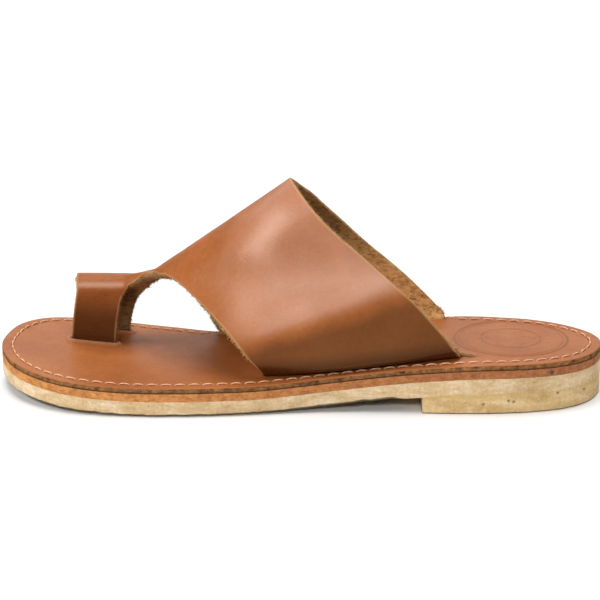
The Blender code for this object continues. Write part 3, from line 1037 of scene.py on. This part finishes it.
def stitch_marks():
    """The stitch line round the insole, its run, and the start and length of the stitches."""
    ring = sole_ring(TOE_X, TOE_X, STITCH_STATIONS)
    front_x, _fy, rear_x, _ry, _side = SLITS["medial_band"]
    x, y = ring.T
    near_slit = ease((x - front_x + 8) / 8) * ease((rear_x + 8 - x) / 8) * (y > 0)
    inset = STITCH_INSET + (STITCH_INSET_AT_SLIT - STITCH_INSET) * near_slit
    line = ring + ring_inward(ring) * inset[:, None]
    line = np.vstack([line, line[:1]])
    run = np.concatenate([[0], np.cumsum(np.linalg.norm(np.diff(line, axis=0), axis=1))])
    count = int(round(run[-1] / STITCH_PITCH))
    pitch = run[-1] / count
    return line, run, np.arange(count) * pitch, STITCH_LENGTH * pitch / STITCH_PITCH


def path_point(line, run, where):
    where = np.mod(where, run[-1])
    return np.stack([np.interp(where, run, line[:, 0]), np.interp(where, run, line[:, 1])], axis=-1)


def slit_distances(plane, inward=0.0):
    """Each slit's name and how far the points are from its line, moved inward by some mm."""
    for name, (front_x, front_y, rear_x, rear_y, side) in SLITS.items():
        shift = side * inward
        distance, _share = segment_distance(plane, (front_x, front_y - shift), (rear_x, rear_y - shift))
        yield name, distance


def slit_relief(x, y):
    """How far the insole rises at the lips of the slits, in mm."""
    plane = np.column_stack([x, y])
    distance, _share = segment_distance(plane, *TAIL_RIDGE)
    rise = 0.9 * bell(distance, 1.5)
    for name, distance in slit_distances(plane, UPPER_THICK / 2):
        rise += (LEG_LIP if "leg" in name else BAND_LIP) * bell(distance - LIP_PLACE, LIP_WIDTH)
    return rise


def stamp_relief(x, y):
    """Depth of the stamped rings and the plain rosette inside them, in mm."""
    across, along = x - STAMP_CENTRE[0], y - STAMP_CENTRE[1]
    radius = np.hypot(across, along)
    depth = np.zeros(len(x))
    for ring, half, deep in STAMP_RINGS:
        depth += deep * np.exp(-((radius - ring) / half) ** 4)
    petal = ROSETTE_RADIUS * np.abs(np.cos(np.arctan2(along, across) * ROSETTE_PETALS / 2))
    inside = radius < ROSETTE_RADIUS + 1.5
    return depth + ROSETTE_DEPTH * inside * bell(radius - petal, ROSETTE_LINE)


def top_height(x, y):
    """Height of the insole's grain over the ground, with its relief, in mm."""
    line, run, starts, length = stitch_marks()
    plane = np.column_stack([x, y])
    groove = distance_to(plane, line[::2])
    ends = np.vstack([path_point(line, run, starts), path_point(line, run, starts + length)])
    hole = np.full(len(x), FAR)
    near = np.flatnonzero(groove < 3)
    hole[near] = distance_to(plane[near], ends)
    z = insole_top(x) - GROOVE_DEPTH * bell(groove, GROOVE_WIDTH) - HOLE_DEPTH * bell(hole, HOLE_WIDTH)
    z = z + slit_relief(x, y) - stamp_relief(x, y)
    spots = np.column_stack([x, y, np.zeros(len(x))])
    return z + 0.10 * rough(spots, 22.0, 1.0) + 0.03 * rough(spots, 5.0, 2.0)


def strips(count):
    """Pairs of points that face each other across a ring."""
    return [(index, count - 1 - index) for index in range(count // 2)]


def slit_cutter(name):
    """A slab with a pointed tail that opens the insole where the upper goes through."""
    front_x, front_y, rear_x, rear_y, side = SLITS[name]
    front, rear = np.array((front_x, front_y)), np.array((rear_x, rear_y))
    along = (rear - front) / np.linalg.norm(rear - front)
    foot = np.array((-along[1], along[0])) * -side
    tail, wide = LONG_TAIL if name == "lateral_band" else BLUNT_TAIL
    outline = [
        front - along * 0.9 + foot * 1.1,
        front + foot * 0.35,
        rear + foot * 0.35,
        rear + along * tail * 0.6 + foot * 0.1,
        rear + along * tail + foot * 0.35,
        rear + along * tail * 0.55 + foot * wide * 0.45,
        rear + along * 0.4 + foot * wide,
        rear - along * 7.0 + foot * 2.6,
        front + foot * 2.5,
    ]
    low, high = STACK - 8.0, STACK + 22.0
    verts = [place((x, y, low)) for x, y in outline] + [place((x, y, high)) for x, y in outline]
    count = len(outline)
    faces = [tuple(range(count))[::-1], tuple(range(count, 2 * count))] + ring_faces(0, 2, count)
    if side > 0:
        faces = [face[::-1] for face in faces]
    return new_object("cut_" + name, verts, faces, [])


def insole_sides(ring):
    """Rings of points up the insole's rough side; the last one is the rim of its top."""
    inward = ring_inward(ring)
    rings = []
    for height, inset, shake in INSOLE_LEVELS:
        plan = ring + inward * inset
        spots = np.column_stack([plan, np.full(len(ring), height * 2.2)])
        plan = plan + inward * (np.abs(rough(spots, 1.7, 4.0)) * shake * 2)[:, None]
        rings.append(np.column_stack([plan, insole_top(plan[:, 0]) + height]))
    return rings


def top_faces(pairs, first_rim, first_inner):
    """Faces of the insole's top, in columns from one side of the rim to the other."""
    numbers = np.empty((len(pairs), TOP_COLUMNS + 1), int)
    numbers[:, [0, -1]] = first_rim + np.array(pairs)
    numbers[:, 1:-1] = first_inner + np.arange(len(pairs) * (TOP_COLUMNS - 1)).reshape(len(pairs), -1)
    corners = [numbers[:-1, :-1], numbers[1:, :-1], numbers[1:, 1:], numbers[:-1, 1:]]
    return np.stack(corners, axis=2).reshape(-1, 4).tolist()


def cut_slits(insole, look):
    """Open the insole at its slits; the cut faces get the given look."""
    cutters = []
    for name in SLITS:
        cutter = slit_cutter(name)
        cutter.data.materials.append(look)
        cut = insole.modifiers.new("slit", "BOOLEAN")
        cut.operation = "DIFFERENCE"
        cut.object = cutter
        cut.material_mode = "TRANSFER"
        cutters.append(cutter)
    mesh = baked(insole)
    for cutter in cutters:
        bpy.data.objects.remove(cutter)
    return mesh


def mask_insole(mesh):
    """Painted shade at the slits, darker grain in the stamp, painted highlights on the lips, and a
    painted shadow line at the seam.
    """
    flat = np.empty(len(mesh.vertices) * 3)
    mesh.vertices.foreach_get("co", flat)
    x, y, z = (flat.reshape(-1, 3) / MM + (CENTRE_X, CENTRE_Y, 0)).T
    shade = 1.1 * stamp_relief(x, y)
    # Painted shade along the slits, where the upper goes down into the insole
    for _name, distance in slit_distances(np.column_stack([x, y])):
        shade += 0.16 * bell(distance, 2.2)
    set_masks(
        mesh,
        burnish=np.clip(shade, 0, 1),
        # Painted shadow line at the foot of the insole's edge
        seam=0.95 * bell(z - insole_top(x) - INSOLE_LOW, 0.65),
        bloom=np.clip(0.6 * slit_relief(x, y) - 0.3, 0, 0.6),
    )


def build_insole(grain, edge, slit_edge):
    """Leather insole: a fine top with relief, a rough cut edge, and slits."""
    rings = insole_sides(sole_ring(TOE_X, TOE_X, SIDE_STATIONS))
    rim = rings[-1]
    count = len(rim)
    pairs = strips(count)
    share = np.linspace(0, 1, TOP_COLUMNS + 1)
    share = 0.5 + 0.5 * np.sign(share - 0.5) * (1 - (1 - np.abs(2 * share - 1)) ** 1.35)
    inner = np.vstack([rim[a] + (rim[b] - rim[a]) * share[1:-1, None] for a, b in pairs])
    for part in (rim, inner):
        part[:, 2] = top_height(part[:, 0], part[:, 1])
    sides = ring_faces(0, len(rings), count)
    under = [(a, b, d, c) for (a, b), (c, d) in zip(pairs, pairs[1:])]
    top = top_faces(pairs, (len(rings) - 1) * count, len(rings) * count)
    cut_faces = GRAIN_LEVEL * count
    indices = [1] * cut_faces + [0] * (len(sides) - cut_faces) + [1] * len(under) + [0] * len(top)
    points = place(np.vstack(rings + [inner]))
    insole = new_object("insole_leather", points, sides + under + top, [grain, edge], indices)
    mesh = cut_slits(insole, slit_edge)
    mask_insole(mesh)
    mesh.shade_smooth()
    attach(insole, "root")
    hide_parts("insole")


def build_layer(name, node, look, plan, low, high):
    """A layer of the sole with rough sides: low and high give its heights along the foot."""
    rows, shake, size, seed, holes, undercut = SIDES[node]
    x, y = plan.T
    inward = ring_inward(plan)
    flat = np.column_stack([plan, np.zeros(len(plan))])
    bevel = undercut * (1 + 0.3 * rough(flat, 3.0, seed + 5))
    if node == "outsole":
        bevel = bevel * ease((BREAST_MEDIAL_X - 2 - x) / 6.0)
    glued = 0.8 * (0.5 + rough(flat, 5.0, seed + 8)) * (node == "heel_lift")
    verts, soil, glue = [], [], []
    for share in np.arange(rows + 1) / rows:
        z = low(x) * (1 - share) + high(x) * share
        spots = np.column_stack([plan, z])
        depth = shake * (0.55 + rough(spots, size, seed) + 0.5 * rough(spots, size * 0.35, seed + 1))
        depth = depth + (0.05 if share in (0, 1) else 0.0)
        under = np.clip(1 - (z - low(x)) / np.maximum(bevel, 0.01), 0, 1) * (bevel > 0.02)
        depth = depth + 1.1 * bevel * under
        # Painted shade on the bevel under the edge and in the pinholes; dirt on the underside
        shade_and_dirt = 0.9 * ease(3 * under)
        for hole_x, hole_z in holes:
            pit = (y < 0) * bell(np.hypot(x - hole_x, z - hole_z), 0.5)
            depth = depth + 0.7 * pit
            shade_and_dirt = np.maximum(shade_and_dirt, pit)
        verts.append(np.column_stack([plan + inward * np.maximum(0.0, depth)[:, None], z]))
        soil.append(shade_and_dirt)
        glue.append(np.clip(glued * bell(high(x) - z, 0.9), 0, 1))
    faces = ring_faces(0, rows + 1, len(plan))
    pairs = strips(len(plan))
    last = rows * len(plan)
    for (a, b), (c, d) in zip(pairs, pairs[1:]):
        faces.append((a, b, d, c))
        faces.append((last + a, last + c, last + d, last + b))
    layer = new_object(name, place(np.vstack(verts)), faces, [look])
    set_masks(layer.data, soil=np.concatenate(soil), seam=np.concatenate(glue))
    layer.data.set_sharp_from_angle(angle=math.radians(50))
    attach(layer, "root")
    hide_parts(node)


def above_bottom(offset):
    """Height line that follows the bottom line of the crepe, the given mm above it."""
    return lambda x: sole_bottom(x) + offset


def on_ground(x):
    return np.zeros(len(x))


def build_stitches(look):
    """Each stitch is a short bowed thread whose ends go down into the leather."""
    line, run, starts, length = stitch_marks()
    bow = np.sin(np.pi * np.linspace(0, 1, THREAD_RINGS))
    verts, faces = [], []
    for start in starts:
        centre = path_point(line, run, start + length * np.linspace(-0.04, 1.04, THREAD_RINGS))
        spine = np.column_stack([centre, insole_top(centre[:, 0]) - 0.55 + 0.86 * bow ** 0.35])
        along = unit(np.gradient(spine, axis=0))
        across = unit(np.cross(along, (0, 0, 1)))
        up = np.cross(across, along)
        faces += tube_faces(len(verts), THREAD_RINGS, THREAD_SIDES)
        for ring in range(THREAD_RINGS):
            radius = THREAD_RADIUS * (0.72 + 0.28 * bow[ring])
            verts += round_ring(spine[ring], across[ring], up[ring], radius, THREAD_SIDES)
    stitches = new_object("running_stitch", place(verts), faces, [look])
    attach(stitches, "root")


def build_nail(look):
    """A small flat nail head in the midsole's side."""
    x, z = NAIL
    bm = bmesh.new()
    bmesh.ops.create_uvsphere(bm, u_segments=16, v_segments=8, radius=NAIL_RADIUS * MM)
    for vert in bm.verts:
        vert.co.y *= NAIL_FLATNESS
    mesh = bpy.data.meshes.new("nail_head")
    bm.to_mesh(mesh)
    bm.free()
    mesh.materials.append(look)
    mesh.shade_smooth()
    nail = bpy.data.objects.new("nail_head", mesh)
    nail.location = place((x, side_y(LATERAL_SIDE, x) + 0.15, z))
    slope = side_y(LATERAL_SIDE, x + 1) - side_y(LATERAL_SIDE, x - 1)
    nail.rotation_euler = (0, 0, math.atan2(slope, 2))
    bpy.context.scene.collection.objects.link(nail)
    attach(nail, "root")


def build_sandal():
    grain = grain_leather("upper_grain", UPPER_TONES, 0.36)
    build_upper(grain, suede("upper_suede", SUEDE_TONES), cut_edge("upper_edge", UPPER_EDGE_TONES))

    insole_grain = grain_leather("insole_grain", INSOLE_TONES, 0.40)
    insole_edge = cut_edge("insole_edge", INSOLE_EDGE_TONES, 1.1)
    build_insole(insole_grain, insole_edge, cut_edge("slit_edge", SLIT_EDGE_TONES))
    build_stitches(thread_look("thread", THREAD_TONES))

    plan = sole_ring(TOE_X, TOE_X, SIDE_STATIONS)
    seam = LAYER_GAP / 2
    midsole_low = CREPE_THICK + LAYER_GAP
    midsole_edge = cut_edge("midsole_edge", MIDSOLE_EDGE_TONES, 1.0, MIDSOLE_HEEL_TINT)
    build_layer("midsole_leather", "midsole", midsole_edge, plan,
                above_bottom(midsole_low - seam), above_bottom(midsole_low + MIDSOLE_THICK + seam))
    build_nail(plain_look("nail_steel", NAIL_TONES, 0.4, 3, Roughness=0.5, Metallic=0.5))

    build_layer("outsole_crepe", "outsole", crepe("crepe_cream", CREAM_TONES), plan,
                above_bottom(0.0), above_bottom(CREPE_THICK + seam))

    lift_plan = sole_ring(BREAST_LATERAL_X, BREAST_MEDIAL_X, HEEL_STATIONS)
    build_layer("heel_crepe", "heel_lift", crepe("crepe_honey", HONEY_TONES), lift_plan,
                on_ground, above_bottom(0.02))


# Floor, light and camera

CAMERA_AZIMUTH = 3.0
CAMERA_ELEVATION = 17.0
CAMERA_DISTANCE = 0.85
CAMERA_TARGET_Z = 0.037587
CAMERA_LENS = 117.1
LIGHT_TARGET_Z = 0.04

# Soft boxes round the sandal: turn from the camera's side toward the heel, height angle,
# distance, width, height and brightness
SOFT_BOXES = [
    ("front_box", -9.0, 30.0, 1.35, 0.62, 0.24, 14.0),
    ("toe_box", -69.0, 35.0, 1.1, 0.40, 0.22, 14.0),
    ("back_wall", 178.0, 24.0, 1.5, 3.0, 0.8, 1.0),
]
SUN_TURN = 180.0
SUN_HEIGHT = 82.0
SUN_STRENGTH = 2.75
SUN_WIDTH = 50.0
SKY_STRENGTH = 0.12


def direction(turn, rise):
    """From the sandal outward: 0 is the little-toe side, 90 the heel, -90 the toe."""
    turn, rise = math.radians(turn), math.radians(rise)
    return Vector((math.sin(turn) * math.cos(rise), -math.cos(turn) * math.cos(rise), math.sin(rise)))


def add_aimed(name, data, target, way, distance):
    """A new object that looks at the target from the given direction."""
    made = bpy.data.objects.new(name, data)
    made.location = target + way * distance
    made.rotation_mode = "QUATERNION"
    made.rotation_quaternion = (-way).to_track_quat("-Z", "Y")
    bpy.context.scene.collection.objects.link(made)
    return made


def build_camera():
    """The photo's view: from the little-toe side, a little above the sandal."""
    data = bpy.data.cameras.new("camera")
    data.lens = CAMERA_LENS
    data.sensor_width = 36
    data.clip_start = 0.05
    data.clip_end = 20
    target = Vector((-CENTRE_X * MM, -CENTRE_Y * MM, CAMERA_TARGET_Z))
    way = direction(CAMERA_AZIMUTH, CAMERA_ELEVATION)
    bpy.context.scene.camera = add_aimed("camera", data, target, way, CAMERA_DISTANCE)


def add_light(name, kind, turn, rise, distance):
    data = bpy.data.lights.new(name, kind)
    add_aimed(name, data, Vector((0, 0, LIGHT_TARGET_Z)), direction(turn, rise), distance)
    return data


def build_studio():
    """A wide pale floor, a soft light overhead and soft boxes round it."""
    bpy.ops.mesh.primitive_plane_add(size=12, location=(0, 0, 0))
    floor = bpy.context.object
    floor.name = "floor"
    look = plain_look("floor_paper", FLOOR_TONES, 300, 1, Roughness=0.9, Specular_IOR_Level=0.1)
    floor.data.materials.append(look)
    world = bpy.data.worlds.new("studio")
    world.use_nodes = True
    sky = world.node_tree.nodes["Background"]
    sky.inputs["Color"].default_value = (1, 1, 1, 1)
    sky.inputs["Strength"].default_value = SKY_STRENGTH
    bpy.context.scene.world = world
    sun = add_light("overhead", "SUN", SUN_TURN, SUN_HEIGHT, 2.0)
    sun.energy = SUN_STRENGTH
    sun.angle = math.radians(SUN_WIDTH)
    for name, turn, rise, distance, width, height, brightness in SOFT_BOXES:
        box = add_light(name, "AREA", turn, rise, distance)
        box.shape = "RECTANGLE"
        box.size, box.size_y = width, height
        box.energy = brightness * math.pi * width * height
    bpy.context.scene.view_settings.view_transform = "Standard"


build_camera()
build_studio()
build_sandal()
